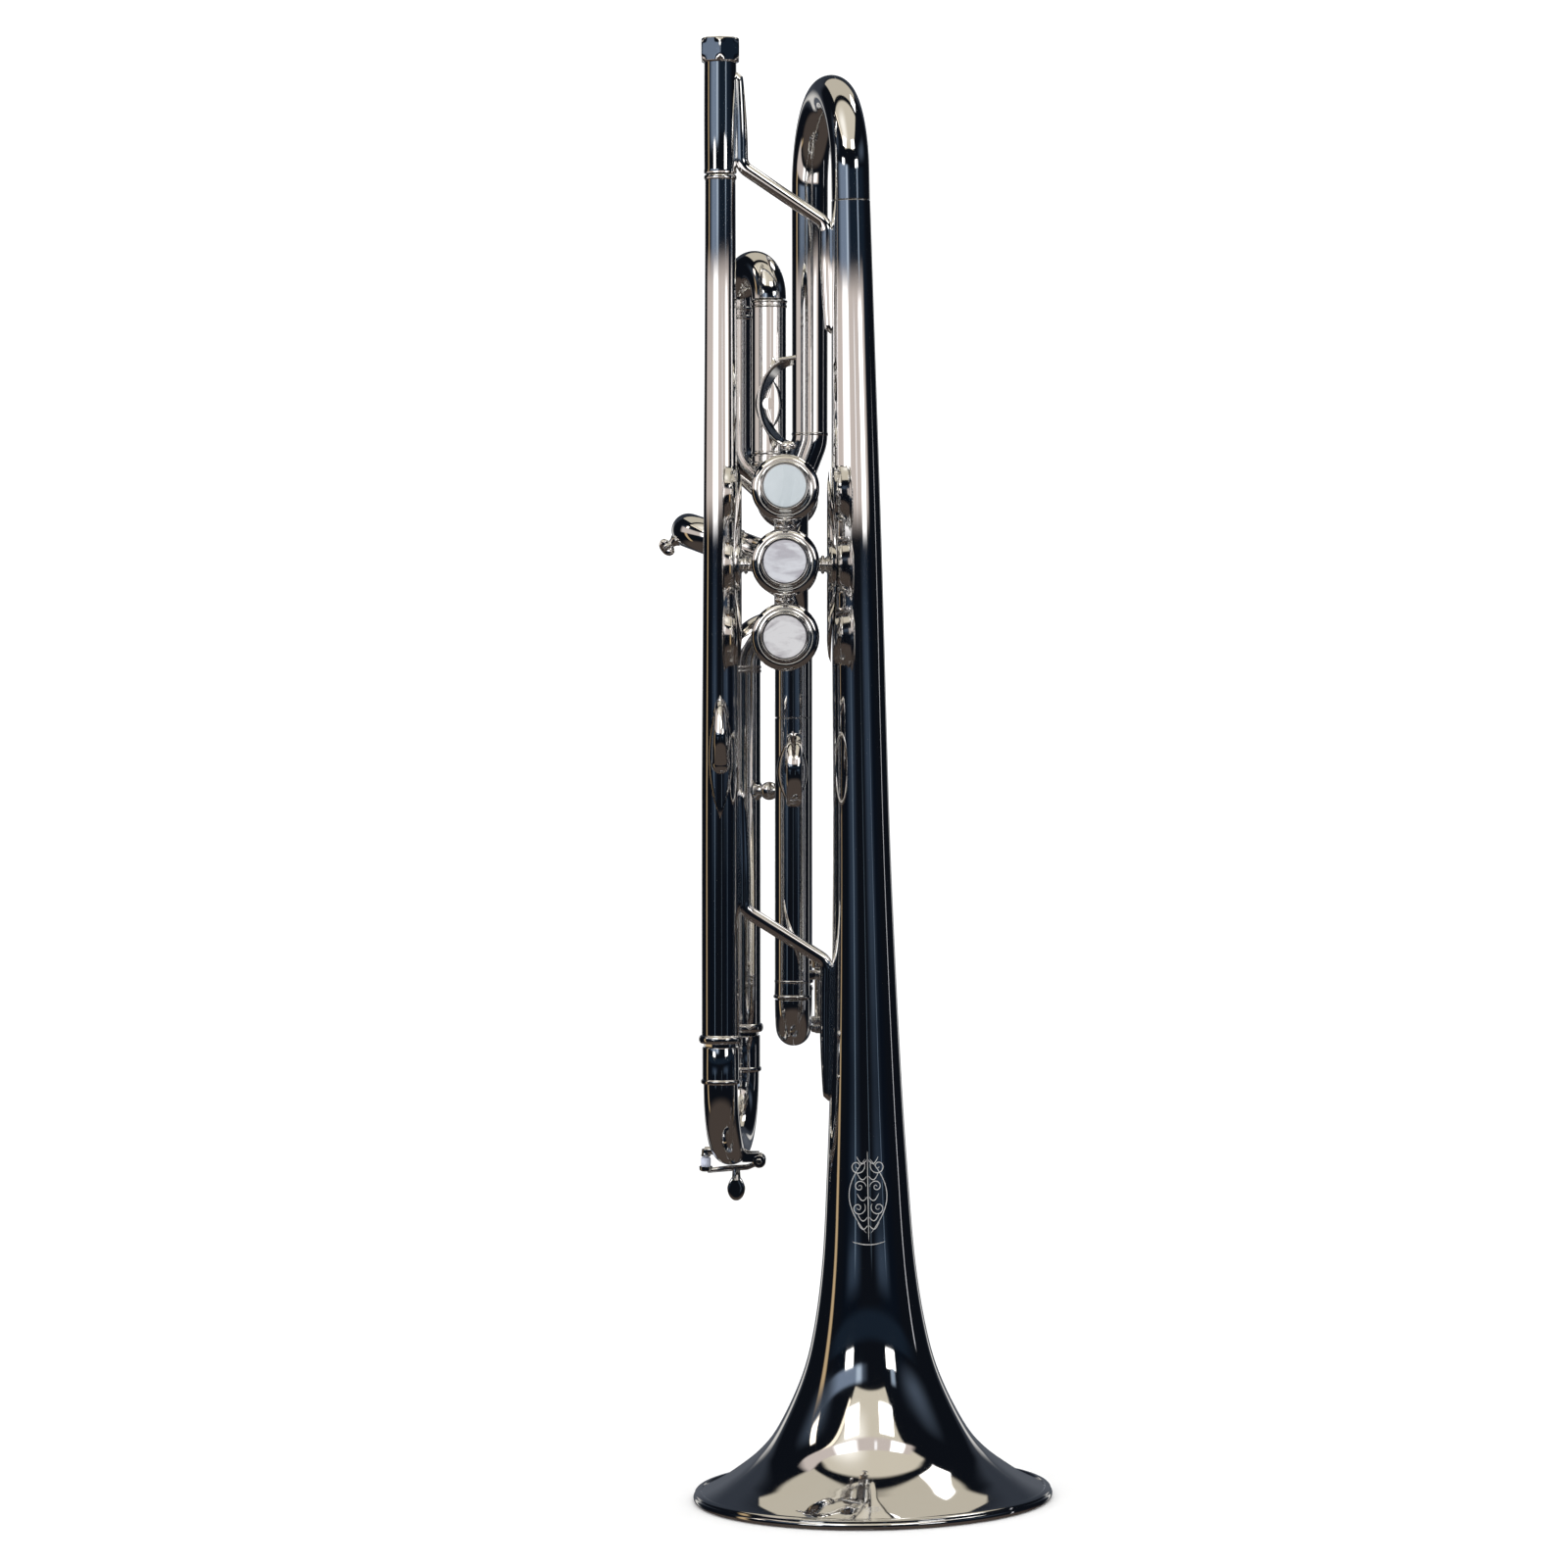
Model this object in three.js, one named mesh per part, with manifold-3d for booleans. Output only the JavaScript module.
// A B-flat trumpet standing on its bell, in millimetres, +Z up.
// The bell's axis is vertical. The valve block, the pipes and the slides lean by LEAN degrees
// to the bell, so they are placed in a frame of their own: its origin is where the second
// valve's axis crosses the plane of the bell and the leadpipe, its Y runs down the valves from
// the finger buttons, and its Z runs along the pipes towards the mouthpiece end.
import * as THREE from 'three';
import { mergeVertices } from 'three/addons/utils/BufferGeometryUtils.js';
import Module from 'manifold-3d';

// ---------------------------------------------------------------- driving dimensions
const LEAN = 1.0;                       // valve block to bell axis, degrees
const BLOCK_HEIGHT = 317.7;             // second valve above the bell's rim
const BELL_OFFSET = 24.0;               // valve plane to bell axis
const LEADPIPE_OFFSET = -22.2;          // valve plane to leadpipe axis
const GAP = 0.3;                        // between touching pieces
const SIDES = 12;                       // facets round a tube
const BEND_STEP = 30;                   // degrees of bend for each facet along a tube

const VALVE_PITCH = 24.4;
const CASING_RADIUS = 9.7;
const CASING_BORE = 8.6;
const CASING_TOP = -45.9;
const CASING_END = 74.9;
const PISTON_RADIUS = 8.4;
const PISTON_TOP = -38;
const PISTON_END = 56;
const CAP_RADIUS = 11.3;
const BUTTON_TOP = -74;

const SLEEVE_RADIUS = 5.9;              // outer tubes of the valve slides
const SLEEVE_BORE = 5.55;
const LEG_RADIUS = 5.35;                // inner tubes of the valve slides
const LEG_BORE = 4.9;
const MAIN_RADIUS = 6.45;               // outer tubes of the main tuning slide
const MAIN_BORE = 6.05;
const MAIN_LEG_RADIUS = 5.8;
const MAIN_LEG_BORE = 5.4;

const BELL_TOP = 440;                   // the bell's stem ends here, above the rim
const BELL_WALL = 0.6;
const BELL_OUTLINE = [                  // outer radius and height above the rim
  [60.3, 2.3], [54.6, 4.7], [48.0, 8.7], [38.6, 16], [31.5, 25], [23.4, 42], [18.9, 59],
  [15.7, 82], [13.7, 112], [12.2, 142], [10.6, 188], [9.5, 235], [8.6, 317], [7.6, 380],
  [6.6, BELL_TOP],
];
const BOW_CREST = 161.5;                // bow centreline's highest point, in the block's frame
const BOW_RADIUS = 6.5;

// Slide axes in the block's frame, as [x, y].
const TAIL_AXIS = [8.0, 58];
const MAIN_LOWER_AXIS = [-15.6, 48];
const FIRST_UPPER_AXIS = [-5.9, 15];
const FIRST_LOWER_AXIS = [-17.0, 35];
const THIRD_UPPER_AXIS = [2.0, 14];
const THIRD_LOWER_AXIS = [3.0, 36];
const SECOND_DEPTHS = [20, 44];
const SECOND_RISE = 20;                 // degrees that the second slide rises from sideways
const STOP_ROD_AXIS = [11.1, 27];

const PIPE_END = -162.4;                 // lower ends of both outer tubes of the tuning slide
const CROOK_START = -175.4;             // tuning slide ferrules end, its bow begins
const MAIN_BEND = -176.1;               // where the tuning slide's half circle begins

// ---------------------------------------------------------------- materials
function metal(colour, roughness) {
  return new THREE.MeshStandardMaterial({ color: colour, roughness, metalness: 1 });
}

function soft(colour, roughness) {
  return new THREE.MeshStandardMaterial({ color: colour, roughness, metalness: 0 });
}

const finishes = {
  silver: () => metal(0xd9dbdf, 0.08),
  nickel: () => metal(0xc2bfb8, 0.25),
  steel: () => metal(0x8d9096, 0.35),
  pearl: () => soft(0xdfe1e8, 0.2),
  cork: () => soft(0xdcd9e6, 0.8),
  nylon: () => soft(0xe6e2d6, 0.5),
};

// ---------------------------------------------------------------- solids
const wasm = await Module();
wasm.setup();

const at = (x, y, z) => new THREE.Vector3(x, y, z);

// Merges shared corners, drops empty triangles and turns the faces outwards.
function closed(geometry) {
  const bare = geometry.clone();
  bare.deleteAttribute('normal');
  bare.deleteAttribute('uv');
  const merged = mergeVertices(bare, 1e-3);
  const place = merged.attributes.position;
  const kept = [];
  let volume = 0;
  for (let i = 0; i < merged.index.count; i += 3) {
    const corner = [0, 1, 2].map((k) => merged.index.getX(i + k));
    if (new Set(corner).size === 3) {
      kept.push(...corner);
      const [a, b, c] = corner.map((k) => new THREE.Vector3().fromBufferAttribute(place, k));
      volume += a.dot(b.cross(c));
    }
  }
  merged.setIndex(volume < 0 ? kept.reverse() : kept);
  return merged;
}

function toSolid(geometry) {
  const merged = closed(geometry);
  return new wasm.Manifold(new wasm.Mesh({
    numProp: 3,
    vertProperties: new Float32Array(merged.attributes.position.array),
    triVerts: new Uint32Array(merged.index.array),
  }));
}

function toGeometry(solid) {
  const mesh = solid.getMesh();
  const geometry = new THREE.BufferGeometry();
  geometry.setAttribute('position', new THREE.BufferAttribute(mesh.vertProperties, 3));
  geometry.setIndex(new THREE.BufferAttribute(mesh.triVerts, 1));
  return geometry;
}

function joined(...geometries) {
  return toGeometry(geometries.map(toSolid).reduce((whole, next) => whole.add(next)));
}

function cut(geometry, ...tools) {
  return toGeometry(tools.map(toSolid).reduce((whole, tool) => whole.subtract(tool), toSolid(geometry)));
}

function common(geometry, tool) {
  return toGeometry(toSolid(geometry).intersect(toSolid(tool)));
}

// A piece turned about Y, from points of [radius, y].
function turned(points, sides = SIDES) {
  return new THREE.LatheGeometry(points.map(([r, y]) => new THREE.Vector2(r, y)), sides);
}

// A ring turned about Y: its points close on themselves.
function turnedRing(points, sides = SIDES) {
  return turned([...points, points[0]], sides);
}

// Turns a piece made along +Y so that it runs along a direction, and moves it.
function aimed(geometry, direction, position) {
  const turn = new THREE.Quaternion().setFromUnitVectors(at(0, 1, 0), direction.clone().normalize());
  return geometry.applyQuaternion(turn).translate(position.x, position.y, position.z);
}

function bar(from, to, radius, sides = 10) {
  const length = from.distanceTo(to);
  const middle = from.clone().add(to).multiplyScalar(0.5);
  return aimed(new THREE.CylinderGeometry(radius, radius, length, sides), to.clone().sub(from), middle);
}

// Points along a line of corners with round bends, each with its direction.
function route(corners, bendRadius, step = BEND_STEP) {
  const stations = [];
  const add = (point, direction) => {
    const last = stations.at(-1);
    if (!last || last.point.distanceTo(point) > 0.05) {
      stations.push({ point: point.clone(), direction: direction.clone().normalize() });
    }
  };
  add(corners[0], corners[1].clone().sub(corners[0]));
  for (let i = 1; i < corners.length - 1; i += 1) {
    const into = corners[i].clone().sub(corners[i - 1]).normalize();
    const out = corners[i + 1].clone().sub(corners[i]).normalize();
    const angle = into.angleTo(out);
    const reach = bendRadius * Math.tan(angle / 2);
    const axis = into.clone().cross(out).normalize();
    const start = corners[i].clone().addScaledVector(into, -reach);
    const centre = start.clone().addScaledVector(axis.clone().cross(into), bendRadius);
    const count = Math.max(1, Math.round(THREE.MathUtils.radToDeg(angle) / step));
    for (let k = 0; k <= count; k += 1) {
      const swing = (angle * k) / count;
      const arm = start.clone().sub(centre).applyAxisAngle(axis, swing);
      add(centre.clone().add(arm), into.clone().applyAxisAngle(axis, swing));
    }
  }
  add(corners.at(-1), corners.at(-1).clone().sub(corners.at(-2)));
  return stations;
}

// Carries one sideways direction along the stations without twist.
function withFrames(stations) {
  const first = stations[0].direction;
  const seed = Math.abs(first.y) > 0.9 ? at(1, 0, 0) : at(0, 1, 0);
  let side = seed.clone().addScaledVector(first, -seed.dot(first)).normalize();
  return stations.map((station, i) => {
    if (i > 0) {
      const turn = new THREE.Quaternion().setFromUnitVectors(stations[i - 1].direction, station.direction);
      side = side.clone().applyQuaternion(turn).normalize();
    }
    return { ...station, side, other: station.direction.clone().cross(side) };
  });
}

// A lathe bent along the stations. A profile point is [radius, station number].
function bent(profile, stations, sides = SIDES) {
  const frames = withFrames(stations);
  const geometry = turned(profile, sides);
  const place = geometry.attributes.position;
  for (let i = 0; i < place.count; i += 1) {
    const frame = frames[Math.round(place.getY(i))];
    const moved = frame.point.clone()
      .addScaledVector(frame.side, place.getX(i))
      .addScaledVector(frame.other, place.getZ(i));
    place.setXYZ(i, moved.x, moved.y, moved.z);
  }
  return geometry;
}

// Profile points along the stations. The size is a number, or a function of the share of the way.
function wall(stations, size) {
  const last = stations.length - 1;
  return stations.map((_, k) => [typeof size === 'function' ? size(k / last) : size, k]);
}

function tube(stations, radius, bore, sides = SIDES) {
  const outer = wall(stations, radius);
  return bent([...outer, ...wall(stations, bore).reverse(), outer[0]], stations, sides);
}

function rod(stations, radius, sides = 8) {
  return bent([[0, 0], ...wall(stations, radius), [0, stations.length - 1]], stations, sides);
}

// A straight tube along Z, from points of [radius, z] that close on themselves.
function pipe([x, y], points, sides = SIDES) {
  return turnedRing(points, sides).rotateX(Math.PI / 2).translate(x, y, 0);
}

// A pointed plate wrapped on a tube that runs along Z; it faces along an angle from +X.
function flange(tubeRadius, length, halfAngle, thickness = 1.1) {
  const shell = turnedRing([
    [tubeRadius + GAP, -length / 2], [tubeRadius + GAP + thickness, -length / 2],
    [tubeRadius + GAP + thickness, length / 2], [tubeRadius + GAP, length / 2],
  ], 24).rotateX(Math.PI / 2);
  const half = (tubeRadius + 1) * Math.sin(THREE.MathUtils.degToRad(halfAngle));
  const outline = new THREE.Shape();
  outline.moveTo(0, -length / 2);
  outline.quadraticCurveTo(half * 1.1, -length * 0.12, half, 0);
  outline.quadraticCurveTo(half * 1.1, length * 0.12, 0, length / 2);
  outline.quadraticCurveTo(-half * 1.1, length * 0.12, -half, 0);
  outline.quadraticCurveTo(-half * 1.1, -length * 0.12, 0, -length / 2);
  const depth = tubeRadius * 2;
  const plate = new THREE.ExtrudeGeometry(outline, { depth, bevelEnabled: false, curveSegments: 3 });
  plate.rotateX(Math.PI / 2).rotateZ(Math.PI / 2);
  return common(shell, plate);
}

// ---------------------------------------------------------------- the two frames
const instrument = new THREE.Group();
const block = new THREE.Group();
block.rotation.y = THREE.MathUtils.degToRad(LEAN);
block.position.set(-BELL_OFFSET, 0, BLOCK_HEIGHT);
block.updateMatrix();
instrument.add(block);

function addPart(group, name, geometry, finish = 'silver') {
  const mesh = new THREE.Mesh(closed(geometry), finishes[finish]());
  mesh.name = name;
  group.add(mesh);
  return mesh;
}

// A point on the bell's axis, at a height above the rim, in the block's frame.
function onBellAxis(height) {
  return at(0, 0, height).applyMatrix4(block.matrix.clone().invert());
}

// The space that a valve casing takes, with a gap round it, for cutting a tube's end.
function casingSpace(valve, radius = CASING_RADIUS) {
  const z = (2 - valve) * VALVE_PITCH;
  return new THREE.CylinderGeometry(radius + GAP, radius + GAP, 200, 24).translate(0, 15, z);
}

// ---------------------------------------------------------------- bell
function bellOutline(steps) {
  const curve = new THREE.SplineCurve(BELL_OUTLINE.map(([r, z]) => new THREE.Vector2(r, z)));
  return curve.getPoints(steps);
}

function bell() {
  const outer = bellOutline(15);
  const inner = outer.map((point, i) => {
    const before = outer[Math.max(0, i - 1)];
    const after = outer[Math.min(outer.length - 1, i + 1)];
    const along = after.clone().sub(before).normalize();
    return new THREE.Vector2(point.x - along.y * BELL_WALL, point.y + along.x * BELL_WALL);
  });
  inner.at(-1).y = BELL_TOP;
  const rim = [[59.2, 1.0], [59.5, 0], [60.6, 0], [61.1, 0.7], [61.1, 1.5]];
  const points = [...rim, ...outer.map((p) => [p.x, p.y]), ...inner.reverse().map((p) => [p.x, p.y])];
  return turnedRing(points, 20).rotateX(Math.PI / 2);
}

addPart(instrument, 'bell', bell());

function bellBow() {
  const casingSide = at(0.5, TAIL_AXIS[1], VALVE_PITCH);
  const half = onBellAxis(BELL_TOP).distanceTo(at(...TAIL_AXIS, onBellAxis(BELL_TOP).z)) / 2;
  const onAxis = onBellAxis(BLOCK_HEIGHT + BOW_CREST);
  const corners = [
    onBellAxis(BELL_TOP + GAP), onAxis, at(...TAIL_AXIS, onAxis.z), at(...TAIL_AXIS, 44), casingSide,
  ];
  const bowStations = route(corners.slice(0, 4), half - 0.1);
  bowStations.pop();
  const tailStations = route(corners.slice(2), 12).slice(1);
  const stations = [...bowStations, ...tailStations];
  const radius = (share) => BOW_RADIUS - 0.3 * share;
  return cut(tube(stations, radius, (share) => radius(share) - 0.55), casingSpace(1));
}

addPart(block, 'bell_bow', bellBow());

// ---------------------------------------------------------------- leadpipe and tuning slide
function receiver() {
  const end = 177.5;
  const collar = 169.2;
  const body = pipe([0, 0], [[5.45, 132], [5.45, collar + 1], [4.2, collar + 1], [4.2, 132]]);
  const nut = turned([
    [0, collar], [6.2, collar], [7.3, collar + 1.4], [7.3, end - 1.2], [6.4, end], [0, end],
  ], 6);
  nut.rotateX(Math.PI / 2);
  const socket = new THREE.CylinderGeometry(5.0, 4.3, 60, 16).rotateX(Math.PI / 2).translate(0, 0, end - 30 + 1);
  return cut(joined(body, nut), socket).translate(LEADPIPE_OFFSET, 0, 0);
}

function leadpipe() {
  return pipe([LEADPIPE_OFFSET, 0], [
    [5.15, 131.7], [5.3, 90], [5.75, 20], [6.35, -60], [MAIN_RADIUS, -85],
    [MAIN_RADIUS, PIPE_END + 2.6], [7.5, PIPE_END + 2], [7.5, PIPE_END + 0.6], [MAIN_RADIUS, PIPE_END],
    [MAIN_BORE, PIPE_END], [MAIN_BORE, -84], [5.7, -80], [5.2, 20], [4.7, 131.7],
  ]);
}

const ELBOW_HEIGHT = -22;

// The lower outer tube of the tuning slide, which turns into the third valve.
function lowerSlideTube() {
  const [x, y] = MAIN_LOWER_AXIS;
  const stations = route([at(x, y, PIPE_END), at(x, y, ELBOW_HEIGHT), at(0, y, ELBOW_HEIGHT)], 12);
  const bead = pipe(MAIN_LOWER_AXIS, [
    [MAIN_BORE, PIPE_END], [MAIN_RADIUS, PIPE_END], [7.4, PIPE_END + 0.8], [7.4, PIPE_END + 2.2],
    [MAIN_RADIUS, PIPE_END + 3], [MAIN_BORE, PIPE_END + 3],
  ]);
  return cut(joined(tube(stations, MAIN_RADIUS, MAIN_BORE), bead), casingSpace(3));
}

addPart(block, 'mouthpiece_receiver', receiver());
addPart(block, 'leadpipe', leadpipe());
addPart(block, 'lower_slide_tube', lowerSlideTube());

const KEY_DEPTH = 24;                   // the water key's plane, along the valves
const KEY_PIVOT = at(-9.4, KEY_DEPTH, -204.9);
const KEY_CORK = at(-27.8, KEY_DEPTH, -205.6);

function tuningSlideCrook() {
  const [x, y] = MAIN_LOWER_AXIS;
  const half = Math.hypot(x - LEADPIPE_OFFSET, y) / 2;
  const low = MAIN_BEND - half;
  const start = CROOK_START;
  const corners = [
    at(LEADPIPE_OFFSET, 0, start), at(LEADPIPE_OFFSET, 0, low), at(x, y, low), at(x, y, start),
  ];
  const bow = tube(route(corners, half - 0.1), 5.9, MAIN_LEG_BORE);
  const ferrulePoints = [
    [MAIN_LEG_BORE, start - 1], [6.6, start - 1], [7.0, start], [6.6, start + 1], [6.3, start + 1.6],
    [6.3, PIPE_END - 1.2], [MAIN_LEG_BORE, PIPE_END - 1.2],
  ];
  const ferrules = [[LEADPIPE_OFFSET, 0], MAIN_LOWER_AXIS].map((axis) => pipe(axis, ferrulePoints));
  const eyes = [-3.2, 3.2].flatMap((offset) => {
    const middle = KEY_PIVOT.clone().add(at(0, offset, 0));
    const cheek = new THREE.BoxGeometry(5.6, 1.8, 3.2).translate(middle.x - 2.8, middle.y, middle.z + 1.2);
    return [cheek, bar(middle.clone().add(at(0, -0.9, 0)), middle.clone().add(at(0, 0.9, 0)), 2.3, 8)];
  });
  const pins = bar(KEY_PIVOT.clone().add(at(0, -3.4, 0)), KEY_PIVOT.clone().add(at(0, 3.4, 0)), 0.7, 6);
  const nipple = bar(KEY_CORK.clone().add(at(0, 0, 2)), KEY_CORK.clone().add(at(0, 0, 4.8)), 1.5, 8);
  const spout = bar(KEY_CORK.clone().add(at(-0.4, 0, 4)), KEY_CORK.clone().add(at(3.8, 0, 4)), 1.4, 8);
  return joined(bow, ...ferrules, ...eyes, pins, nipple, spout);
}

// A leg's upper end stands 79 mm inside its outer tube.
function tuningSlideLeg(axis) {
  const top = PIPE_END + 79;
  const end = PIPE_END - 1.2 + GAP;
  return pipe(axis, [[MAIN_LEG_RADIUS, end], [MAIN_LEG_RADIUS, top], [MAIN_LEG_BORE, top], [MAIN_LEG_BORE, end]]);
}

function waterKeyLever() {
  const hub = bar(KEY_PIVOT.clone().add(at(0, -2, 0)), KEY_PIVOT.clone().add(at(0, 2, 0)), 2.1);
  const hole = bar(KEY_PIVOT.clone().add(at(0, -3, 0)), KEY_PIVOT.clone().add(at(0, 3, 0)), 1.0);
  const cup = bar(KEY_CORK.clone().add(at(0, 0, -3.4)), KEY_CORK.clone().add(at(0, 0, -2.0)), 2.3);
  const arm = rod(route([
    KEY_PIVOT.clone().add(at(-0.5, 0, -1)), at(-13.5, KEY_DEPTH, -208.4), at(-20, KEY_DEPTH, -208.9),
    KEY_CORK.clone().add(at(0, 0, -3.3)),
  ], 2), 1.2, 6);
  const stalk = rod(route([
    at(-17.3, KEY_DEPTH, -208.7), at(-17.3, 23.2, -210.3), at(-17.3, 22.8, -212),
  ], 0.5), 1.2, 6);
  const spatula = new THREE.SphereGeometry(1, 10, 6).scale(3.1, 1.0, 4.5).translate(-17.3, 22.6, -214.3);
  return cut(joined(hub, cup, arm, stalk, spatula), hole);
}

function waterKeyCork() {
  return bar(KEY_CORK.clone().add(at(0, 0, -1.7)), KEY_CORK.clone().add(at(0, 0, 1.7)), 1.7);
}

addPart(block, 'tuning_slide_crook', tuningSlideCrook());
addPart(block, 'tuning_slide_upper_leg', tuningSlideLeg([LEADPIPE_OFFSET, 0]));
addPart(block, 'tuning_slide_lower_leg', tuningSlideLeg(MAIN_LOWER_AXIS));
addPart(block, 'water_key_lever', waterKeyLever());
addPart(block, 'water_key_cork', waterKeyCork(), 'cork');

// ---------------------------------------------------------------- valves
function casing() {
  return turnedRing([
    [CASING_RADIUS, CASING_TOP], [CASING_RADIUS, -40.9], [10.5, -40.2], [10.5, -27], [CASING_RADIUS, -26.3],
    [CASING_RADIUS, CASING_END], [CASING_BORE, CASING_END], [CASING_BORE, CASING_TOP],
  ], 16);
}

function topCap() {
  return turnedRing([
    [3.2, -50.6], [6.4, -50.6], [7.2, -49.6], [10.2, -49.3], [CAP_RADIUS, -48.2], [CAP_RADIUS, -42.2],
    [CASING_RADIUS + GAP, -41.6], [CASING_RADIUS + GAP, CASING_TOP - GAP], [3.2, CASING_TOP - GAP],
  ], 16);
}

function bottomCap() {
  return turned([
    [0, 81.6], [2.2, 81.6], [3.0, 80], [9.4, 80], [11.0, 78.6], [11.0, 68],
    [CASING_RADIUS + GAP, 68], [CASING_RADIUS + GAP, CASING_END + GAP], [0, CASING_END + GAP],
  ], 16);
}

// The barrel at the top is open at two slots for the guide; the windways cross below it.
function piston() {
  const floor = -0.4;
  const body = turned([
    [0, PISTON_TOP], [PISTON_RADIUS, PISTON_TOP], [PISTON_RADIUS, PISTON_END], [0, PISTON_END],
  ], 16);
  const barrel = new THREE.CylinderGeometry(7.4, 7.4, floor - PISTON_TOP - 2, 12)
    .translate(0, (floor + PISTON_TOP + 2) / 2, 0);
  const slot = new THREE.BoxGeometry(30, 21, 3.6).translate(0, floor - 10.5, 0);
  const windways = [[12, 0], [27, 60], [42, -60]].map(([y, turn]) => new THREE.CylinderGeometry(5.2, 5.2, 30, 10)
    .rotateX(Math.PI / 2).rotateY(THREE.MathUtils.degToRad(turn)).translate(0, y, 0));
  return cut(body, barrel, slot, ...windways);
}

function valveStem() {
  return turned([
    [0, -72.2], [7.3, -72.2], [7.3, BUTTON_TOP + 0.3], [7.9, BUTTON_TOP + 0.3], [7.9, -71.2], [6.6, -69.9],
    [3.4, -69.6], [2.4, -67.6], [2.4, -41], [4.4, -40.4], [4.4, PISTON_TOP - GAP], [0, PISTON_TOP - GAP],
  ]);
}

function pearl() {
  return turned([[0, BUTTON_TOP], [6.2, BUTTON_TOP + 0.1], [7.0, BUTTON_TOP + 0.5], [7.0, -72.5], [0, -72.5]]);
}

const GUIDE_TOP = -4.2;

function valveGuide() {
  const hub = turned([[0, GUIDE_TOP], [5.8, GUIDE_TOP], [5.8, GUIDE_TOP + 3], [0, GUIDE_TOP + 3]]);
  return joined(hub, new THREE.BoxGeometry(16.6, 3, 3).translate(0, GUIDE_TOP + 1.5, 0));
}

function valveSpring() {
  const turns = 5;
  const perTurn = 6;
  const top = PISTON_TOP + 3;
  const pitch = (GUIDE_TOP - 0.9 - top) / turns;
  const coil = [];
  for (let i = 0; i <= turns * perTurn; i += 1) {
    const angle = (2 * Math.PI * i) / perTurn;
    const point = at(4.8 * Math.cos(angle), top + (pitch * i) / perTurn, 4.8 * Math.sin(angle));
    const direction = at(-Math.sin(angle), pitch / (2 * Math.PI * 4.8), Math.cos(angle)).normalize();
    coil.push({ point, direction });
  }
  return rod(coil, 0.5, 4);
}

for (let valve = 1; valve <= 3; valve += 1) {
  const valvePlace = new THREE.Group();
  valvePlace.position.z = (2 - valve) * VALVE_PITCH;
  block.add(valvePlace);
  addPart(valvePlace, `valve_casing_${valve}`, casing());
  addPart(valvePlace, `top_cap_${valve}`, topCap());
  addPart(valvePlace, `bottom_cap_${valve}`, bottomCap());
  addPart(valvePlace, `piston_${valve}`, piston(), 'nickel');
  addPart(valvePlace, `valve_stem_${valve}`, valveStem());
  addPart(valvePlace, `pearl_${valve}`, pearl(), 'pearl');
  addPart(valvePlace, `valve_guide_${valve}`, valveGuide(), 'nylon');
  addPart(valvePlace, `valve_spring_${valve}`, valveSpring(), 'steel');
}

// A solid tie near the top, and a slanted windway tube, join each valve to the next.
for (const valve of [1, 2]) {
  const z = (2 - valve) * VALVE_PITCH;
  const near = casingSpace(valve);
  const next = casingSpace(valve + 1);
  const tie = bar(at(-0.4, -18, z), at(-0.4, -18, z - VALVE_PITCH), 3.8);
  addPart(block, `valve_tie_${valve}${valve + 1}`, cut(tie, near, next));
  const from = at(1.6, valve === 1 ? 34 : 26, z);
  const to = at(1.6, valve === 1 ? 26 : 34, z - VALVE_PITCH);
  const windway = tube(route([from, to], 1), SLEEVE_RADIUS, SLEEVE_BORE);
  addPart(block, `crossover_tube_${valve}${valve + 1}`, cut(windway, near, next));
}

// ---------------------------------------------------------------- first valve slide
const FIRST_SPLIT = 37.6;               // where the moving sleeve meets its base ring
const FIRST_BEND = 90.4;

function firstUpperInner() {
  const [x, y] = FIRST_UPPER_AXIS;
  const stations = route([at(x, y, FIRST_BEND - 6), at(x, y, 35), at(0.5, y, VALVE_PITCH)], 6);
  const ring = pipe(FIRST_UPPER_AXIS, [
    [LEG_BORE + 0.1, 34.6], [6.3, 34.6], [6.6, 35.6], [6.3, FIRST_SPLIT - GAP],
    [LEG_BORE + 0.1, FIRST_SPLIT - GAP],
  ]);
  return cut(joined(tube(stations, LEG_RADIUS, LEG_BORE), ring), casingSpace(1));
}

function firstLowerOuter() {
  const [x, y] = FIRST_LOWER_AXIS;
  const stations = route([at(x, y, FIRST_BEND - 4), at(x, y, 37), at(0, y, VALVE_PITCH - 3)], 9);
  return cut(tube(stations, SLEEVE_RADIUS, SLEEVE_BORE), casingSpace(1));
}

function firstSleeve() {
  return pipe(FIRST_UPPER_AXIS, [
    [SLEEVE_RADIUS, FIRST_SPLIT], [SLEEVE_RADIUS, FIRST_BEND - 5], [6.5, FIRST_BEND - 4.2],
    [6.5, FIRST_BEND - 0.6], [SLEEVE_RADIUS, FIRST_BEND], [SLEEVE_BORE, FIRST_BEND], [SLEEVE_BORE, FIRST_SPLIT],
  ]);
}

// A half circle from one slide axis to the other, then a straight leg into the fixed tube.
function slideCrook(upperAxis, lowerAxis, start, legEnd, way) {
  const half = Math.hypot(lowerAxis[0] - upperAxis[0], lowerAxis[1] - upperAxis[1]) / 2;
  const crest = start + way * (half + 0.2);
  const shoulder = start - way * 3;
  const stations = route([
    at(...upperAxis, start + way * GAP), at(...upperAxis, crest),
    at(...lowerAxis, crest), at(...lowerAxis, shoulder),
  ], half - 0.1);
  const bow = tube(stations, SLEEVE_RADIUS, LEG_BORE);
  const leg = pipe(lowerAxis, [
    [LEG_RADIUS, shoulder + way * 0.5], [LEG_RADIUS, legEnd],
    [LEG_BORE, legEnd], [LEG_BORE, shoulder + way * 0.5],
  ]);
  return joined(bow, leg);
}

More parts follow.
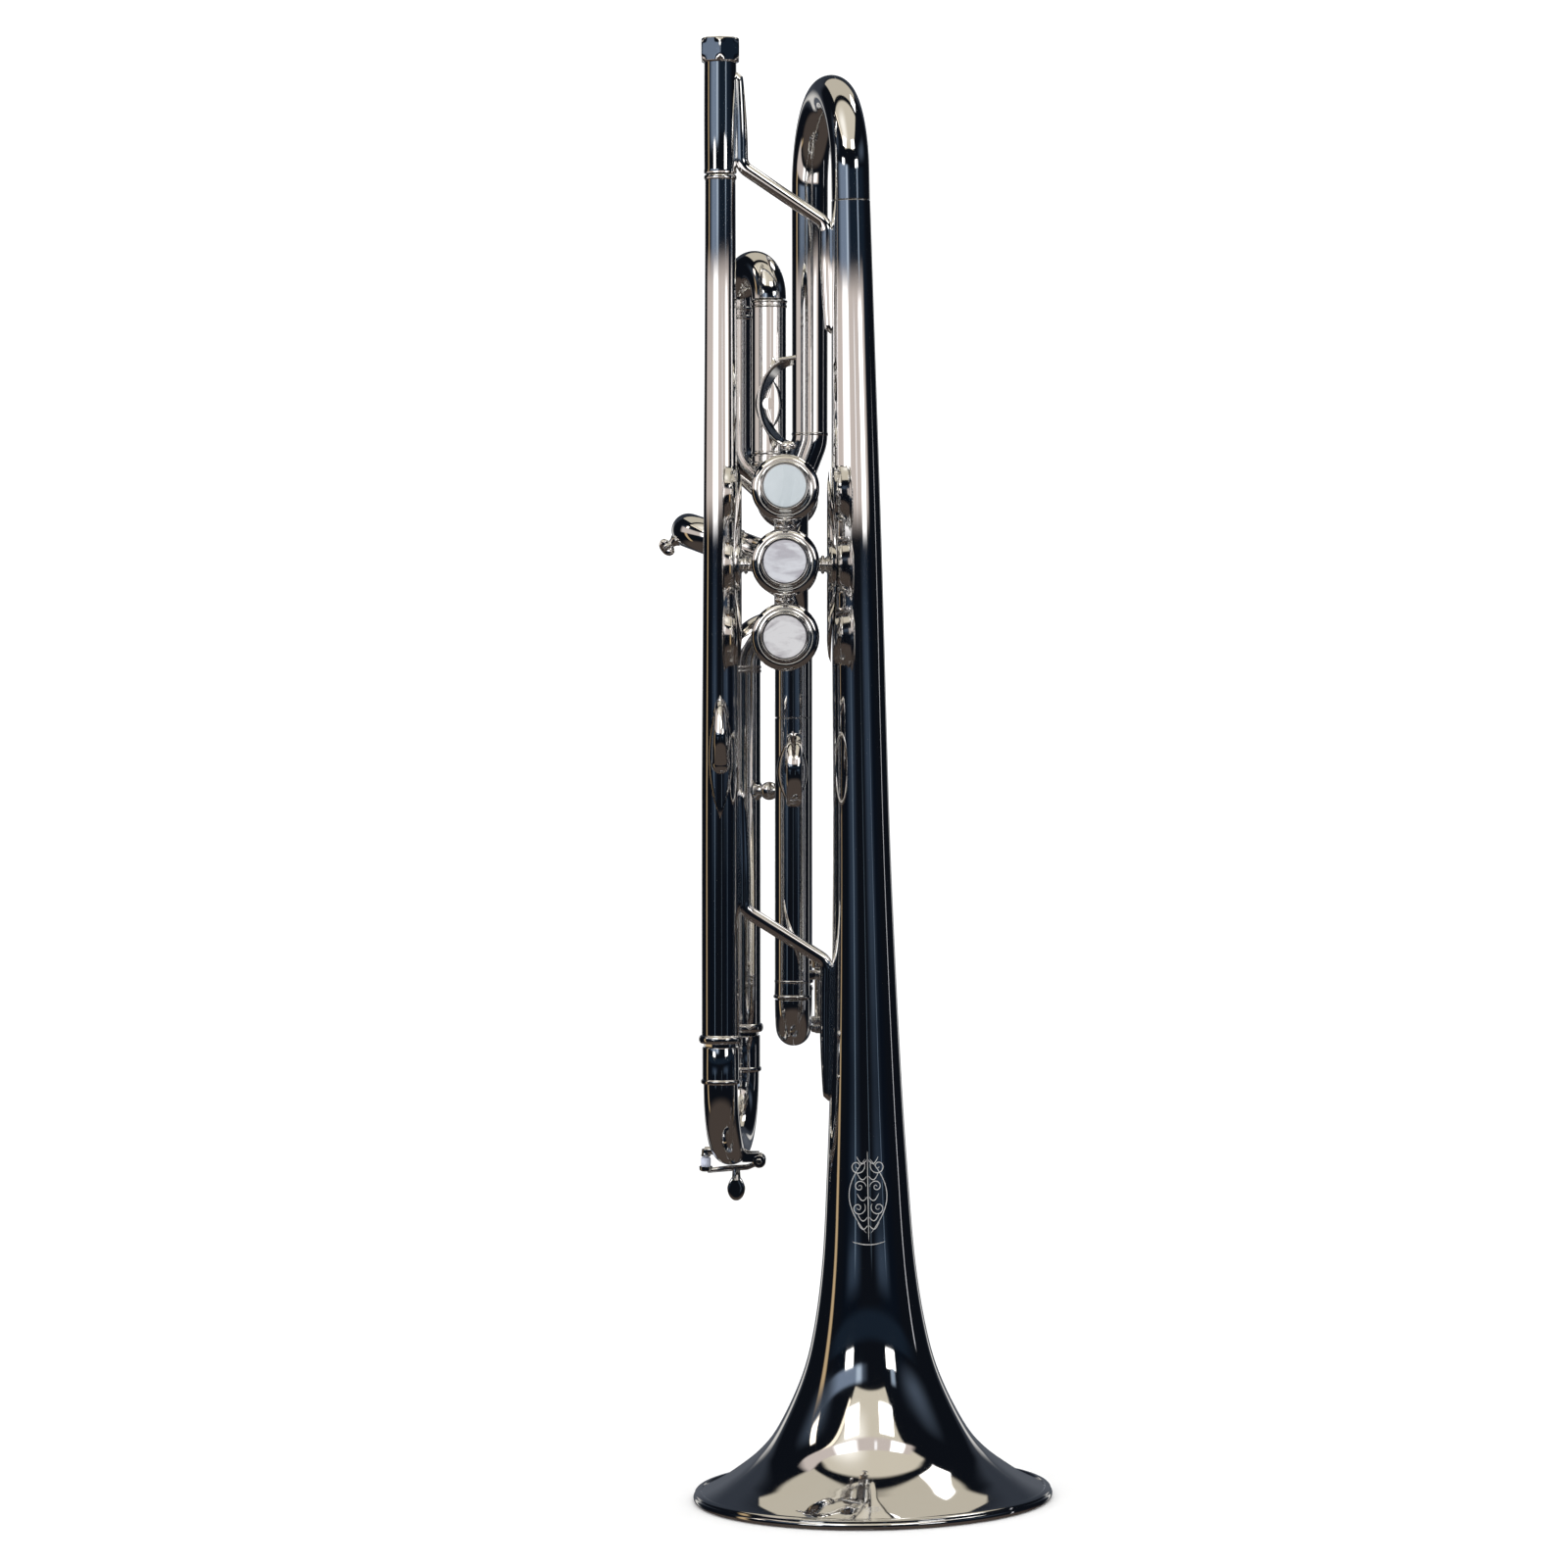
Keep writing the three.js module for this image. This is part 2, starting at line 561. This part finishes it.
function thumbSaddle() {
  const [x, y] = FIRST_UPPER_AXIS;
  const middle = 54.8;
  const outline = new THREE.Shape();
  outline.absellipse(x + 9, middle, 10.5, 15.4, Math.PI / 2, (3 * Math.PI) / 2, false, 0);
  outline.lineTo(x + 9, middle - 14);
  outline.absellipse(x + 9, middle, 9.1, 14, (3 * Math.PI) / 2, Math.PI / 2, true, 0);
  const width = 11;
  const band = new THREE.ExtrudeGeometry(outline, { depth: width, bevelEnabled: false, curveSegments: 10 });
  band.rotateX(Math.PI / 2);
  const face = y - SLEEVE_RADIUS - GAP;
  band.translate(0, face - 0.6, 0);
  const foot = flange(SLEEVE_RADIUS, 18, 50).rotateZ(-Math.PI / 2).translate(x, y, middle);
  const neck = bar(at(x, face, middle), at(x, face - 3, middle), 1.6);
  return joined(band, foot, neck);
}

addPart(block, 'first_slide_upper_inner', firstUpperInner());
addPart(block, 'first_slide_lower_outer', firstLowerOuter());
addPart(block, 'first_slide_sleeve', firstSleeve());
addPart(block, 'first_slide_crook', slideCrook(FIRST_UPPER_AXIS, FIRST_LOWER_AXIS, FIRST_BEND, 48, 1));
addPart(block, 'thumb_saddle', thumbSaddle());

// ---------------------------------------------------------------- second valve slide
const SECOND_SPLIT = 19;                // distances from the valve's axis, along the slide
const SECOND_BEND = 24;
const [SECOND_NEAR, SECOND_FAR] = SECOND_DEPTHS;

// Made along -X in the plane of the valve's axis, then raised by SECOND_RISE.
function raised(geometry) {
  return geometry.rotateY(THREE.MathUtils.degToRad(SECOND_RISE));
}

function secondOuter(depth) {
  const straight = tube(route([at(0, depth, 0), at(-SECOND_SPLIT, depth, 0)], 1), SLEEVE_RADIUS, SLEEVE_BORE);
  return cut(raised(straight), casingSpace(2));
}

function secondCrook() {
  const half = (SECOND_FAR - SECOND_NEAR) / 2;
  const reach = SECOND_BEND + half;
  const start = SECOND_SPLIT + GAP;
  const stations = route([
    at(-start, SECOND_NEAR, 0), at(-reach, SECOND_NEAR, 0),
    at(-reach, SECOND_FAR, 0), at(-start, SECOND_FAR, 0),
  ], half - 0.1);
  const legs = SECOND_DEPTHS.map((depth) => tube(
    route([at(-start - 0.5, depth, 0), at(-start + 8, depth, 0)], 1), LEG_RADIUS, LEG_BORE,
  ));
  return raised(joined(tube(stations, SLEEVE_RADIUS, LEG_BORE), ...legs));
}

function secondKnob() {
  const middle = at(-(SECOND_BEND + (SECOND_FAR - SECOND_NEAR) / 2), (SECOND_NEAR + SECOND_FAR) / 2, 0);
  const direction = at(-0.53, 0, -0.85).normalize();
  const knob = turned([
    [0, 6.3], [1.6, 6.3], [1.3, 7.6], [2.9, 8.2], [3.3, 9.4], [2.9, 10.8], [1.4, 11.6], [0, 11.6],
  ], 8);
  return raised(aimed(knob, direction, middle));
}

addPart(block, 'second_slide_upper_outer', secondOuter(SECOND_NEAR));
addPart(block, 'second_slide_lower_outer', secondOuter(SECOND_FAR));
addPart(block, 'second_slide_crook', secondCrook());
addPart(block, 'second_slide_knob', secondKnob());

// ---------------------------------------------------------------- third valve slide
const THIRD_SPLIT = -52.2;               // the fixed stub ends here, the moving sleeve begins
const THIRD_BEND = -148.2;
const LUG_HEIGHT = -141;               // the moving lug with the eye that slides on the stop rod
const ROD_LUG = -136.6;                 // the fixed lug that holds the stop rod
const ROD_END = -161.2;

function thirdUpperInner() {
  const piece = pipe(THIRD_UPPER_AXIS, [
    [LEG_BORE, -20], [SLEEVE_RADIUS, -20], [SLEEVE_RADIUS, THIRD_SPLIT + GAP], [LEG_RADIUS, THIRD_SPLIT + GAP],
    [LEG_RADIUS, -136], [LEG_BORE, -136],
  ]);
  return cut(piece, casingSpace(3));
}

function thirdLowerOuter() {
  const end = THIRD_BEND + 3.6;
  const piece = pipe(THIRD_LOWER_AXIS, [
    [SLEEVE_BORE, -20], [SLEEVE_RADIUS, -20], [SLEEVE_RADIUS, end], [SLEEVE_BORE, end],
  ]);
  return cut(piece, casingSpace(3));
}

function thirdSleeve() {
  const sleeve = pipe(THIRD_UPPER_AXIS, [
    [SLEEVE_RADIUS, THIRD_SPLIT], [SLEEVE_RADIUS, THIRD_BEND + 5.6], [6.35, THIRD_BEND + 5],
    [6.35, THIRD_BEND + 0.6], [SLEEVE_RADIUS, THIRD_BEND], [SLEEVE_BORE, THIRD_BEND], [SLEEVE_BORE, THIRD_SPLIT],
  ]);
  const [x, y] = THIRD_UPPER_AXIS;
  const [rodX, rodY] = STOP_ROD_AXIS;
  const eye = pipe(STOP_ROD_AXIS, [
    [1.75, LUG_HEIGHT - 1.6], [3.1, LUG_HEIGHT - 1.6], [3.1, LUG_HEIGHT + 1.6], [1.75, LUG_HEIGHT + 1.6],
  ], 10);
  const away = at(rodX - x, rodY - y, 0).normalize();
  const from = at(x, y, LUG_HEIGHT).addScaledVector(away, SLEEVE_BORE + 0.1);
  const to = at(rodX, rodY, LUG_HEIGHT).addScaledVector(away, -2.2);
  return joined(sleeve, eye, bar(from, to, 1.4, 8));
}

function fingerRing() {
  const [x, y] = THIRD_UPPER_AXIS;
  const outer = 12.6;
  const inner = 10.8;
  const middleHeight = -69.4;
  const face = y - SLEEVE_RADIUS - GAP;
  const centre = at(x + 0.8, face - 2.2 - outer, middleHeight);
  const ring = turnedRing([
    [inner, -2], [outer - 0.5, -2.6], [outer, 0], [outer - 0.5, 2.6], [inner, 2], [inner - 0.3, 0],
  ], 20);
  const foot = flange(SLEEVE_RADIUS, 15, 62).rotateZ(-Math.PI / 2).translate(x, y, middleHeight - 4);
  const neck = bar(at(x, face, middleHeight - 4), at(x, face - 3.4, middleHeight - 4), 2.2);
  return joined(aimed(ring, at(1, 0, 0), centre), foot, neck);
}

// The rod hangs from a lug on the third slide's fixed lower tube.
function stopRod() {
  const top = at(...STOP_ROD_AXIS, ROD_LUG);
  const tubeMiddle = at(...THIRD_LOWER_AXIS, ROD_LUG);
  const away = top.clone().sub(tubeMiddle).normalize();
  const lug = bar(tubeMiddle.addScaledVector(away, SLEEVE_RADIUS + GAP), top, 1.6, 8);
  return joined(bar(at(...STOP_ROD_AXIS, ROD_END), at(...STOP_ROD_AXIS, ROD_LUG + 2.2), 1.4), lug);
}

function stopNuts() {
  const low = ROD_END + 0.4;
  return pipe(STOP_ROD_AXIS, [
    [1.7, low], [2.4, low], [2.7, low + 0.6], [2.7, low + 2.2], [2.2, low + 2.7], [2.7, low + 3.2],
    [2.7, low + 5], [2.4, low + 5.6], [1.7, low + 5.6],
  ], 10);
}

addPart(block, 'third_slide_upper_inner', thirdUpperInner());
addPart(block, 'third_slide_lower_outer', thirdLowerOuter());
addPart(block, 'third_slide_sleeve', thirdSleeve());
addPart(block, 'third_slide_crook', slideCrook(THIRD_UPPER_AXIS, THIRD_LOWER_AXIS, THIRD_BEND, -72, -1));
addPart(block, 'finger_ring', fingerRing());
addPart(block, 'stop_rod', stopRod());
addPart(block, 'stop_nuts', stopNuts());

// ---------------------------------------------------------------- braces, posts and hook
const BRACE_RADIUS = 2.3;
const BRACE_TIP = 1.25;                 // radius at the ends of its two legs

// Two tapering legs along the pipes, and a slanted rod between them.
function brace(corners) {
  const radius = (share) => BRACE_RADIUS - (BRACE_RADIUS - BRACE_TIP) * Math.abs(2 * share - 1) ** 8;
  return rod(route(corners, 4, 30), radius);
}

const rearLeft = LEADPIPE_OFFSET + 5.45 + GAP + BRACE_RADIUS;
const frontLeft = LEADPIPE_OFFSET + MAIN_RADIUS + GAP + BRACE_RADIUS;
addPart(block, 'rear_brace', brace([
  at(rearLeft - 1, 0, 166), at(rearLeft, 0, 134.5), at(12.4, 0, 115), at(13.6, 0, 78),
]));
addPart(block, 'front_brace', brace([
  at(frontLeft - 1, 0, -76), at(frontLeft, 0, -117), at(13, 0, -134.8), at(13.2, 0, -178),
]));

// A short post between a pipe and the second valve, with a pointed plate on the pipe.
function valvePost(pipeX, pipeRadius, towards) {
  const foot = flange(pipeRadius, 33, 38);
  if (towards < 0) foot.rotateZ(Math.PI);
  foot.translate(pipeX, 0, 0);
  const shaft = bar(at(pipeX + towards * (pipeRadius + GAP + 0.5), 0, 0), at(0, 0, 0), 2.3);
  const collarX = pipeX + towards * (pipeRadius + 3);
  const collar = bar(at(collarX - 0.7, 0, 0), at(collarX + 0.7, 0, 0), 3.1);
  return cut(joined(foot, shaft, collar), casingSpace(2));
}

addPart(block, 'leadpipe_post', valvePost(LEADPIPE_OFFSET, 6.0, 1));
addPart(block, 'bell_post', valvePost(BELL_OFFSET, 9.0, -1));

function pinkyHook() {
  const x = LEADPIPE_OFFSET + 0.4;
  const face = -(6.4 + GAP);
  const foot = flange(6.4, 42, 40).rotateZ(-Math.PI / 2).translate(LEADPIPE_OFFSET, 0, -65);
  const hook = rod(route([
    at(x, face - 0.4, -50), at(x, -23, -46), at(x, -27, -58), at(x, -22, -67),
  ], 6), 2.2);
  const tip = new THREE.SphereGeometry(3.1, 10, 7).translate(x, -22, -67);
  return joined(foot, hook, tip);
}

addPart(block, 'pinky_hook', pinkyHook());

// Between the lower tuning slide tube and the third slide's lower tube.
function slidePost() {
  const height = -78;
  const from = at(...MAIN_LOWER_AXIS, height);
  const to = at(...THIRD_LOWER_AXIS, height);
  const away = to.clone().sub(from).normalize();
  const start = from.clone().addScaledVector(away, MAIN_RADIUS + GAP);
  const end = to.clone().addScaledVector(away, -(SLEEVE_RADIUS + GAP));
  const ball = new THREE.SphereGeometry(3.2, 10, 7).translate(...start.clone().lerp(end, 0.5).toArray());
  return joined(bar(start, end, 1.7), ball);
}

addPart(block, 'slide_post', slidePost());

// ---------------------------------------------------------------- the whole trumpet
// The origin is at the middle of the box's base.
instrument.updateMatrixWorld(true);
const box = new THREE.Box3().setFromObject(instrument, true);
const middle = box.getCenter(new THREE.Vector3());
instrument.position.set(-middle.x, -middle.y, -box.min.z);
instrument.updateMatrixWorld(true);

export default instrument;
